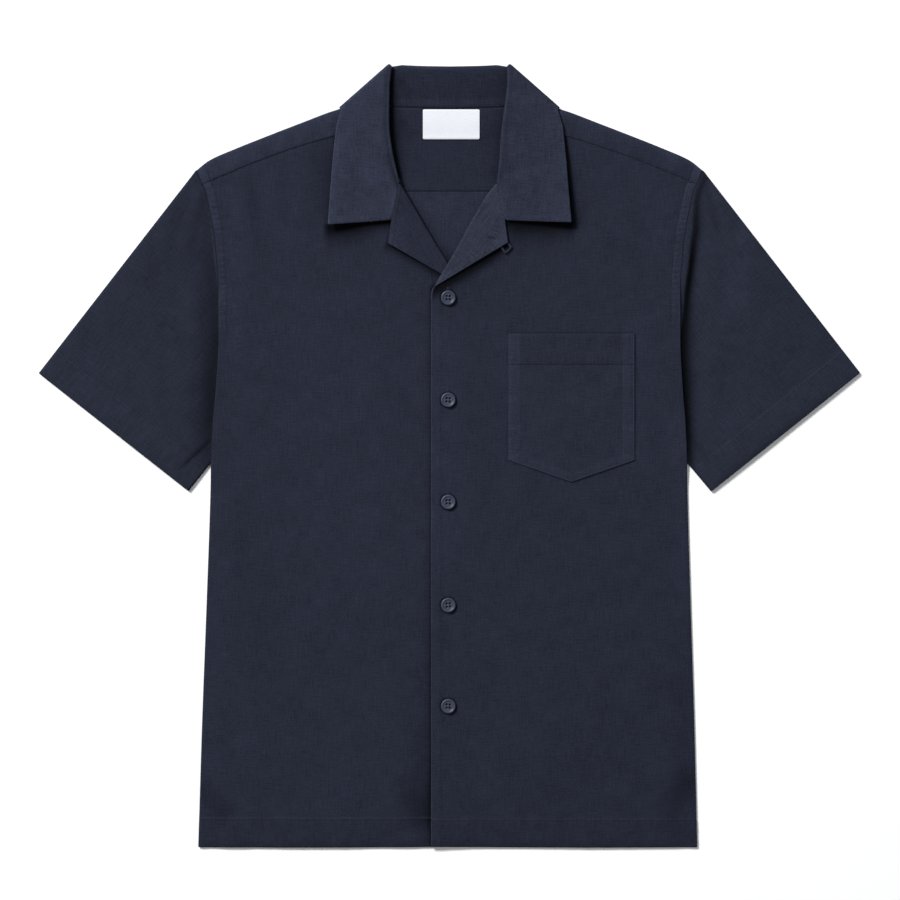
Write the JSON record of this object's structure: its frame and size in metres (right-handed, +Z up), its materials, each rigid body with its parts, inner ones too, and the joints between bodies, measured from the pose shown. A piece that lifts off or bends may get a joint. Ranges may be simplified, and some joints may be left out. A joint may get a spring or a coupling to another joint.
{
  "type": "short-sleeved linen shirt, laid flat",
  "caption": "Short-sleeved linen shirt with a notched camp collar, yoke, chest pocket and buttoned front, laid flat with the front up.",
  "frame": {"origin": "centre of the bounding box in plan, on the surface that the shirt lies on", "axes": "+X across the shirt towards the wearer's left sleeve, +Y from the hem to the collar, +Z up out of the front"},
  "size_m": [0.802, 0.7642, 0.0098],
  "materials": {
    "linen": "matte",
    "button": "satin",
    "label": "matte"
  },
  "bodies": {
    "root": {"back": "linen", "yoke": "linen", "front_right": "linen", "facing_right": "linen", "sleeve_right": "linen", "front_left": "linen", "facing_left": "linen", "sleeve_left": "linen", "collar": "linen", "pocket": "linen", "button_1": "button", "button_2": "button", "button_3": "button", "button_4": "button", "button_5": "button", "neck_label": "label", "button_loop": "linen"}
  },
  "joints": []
}
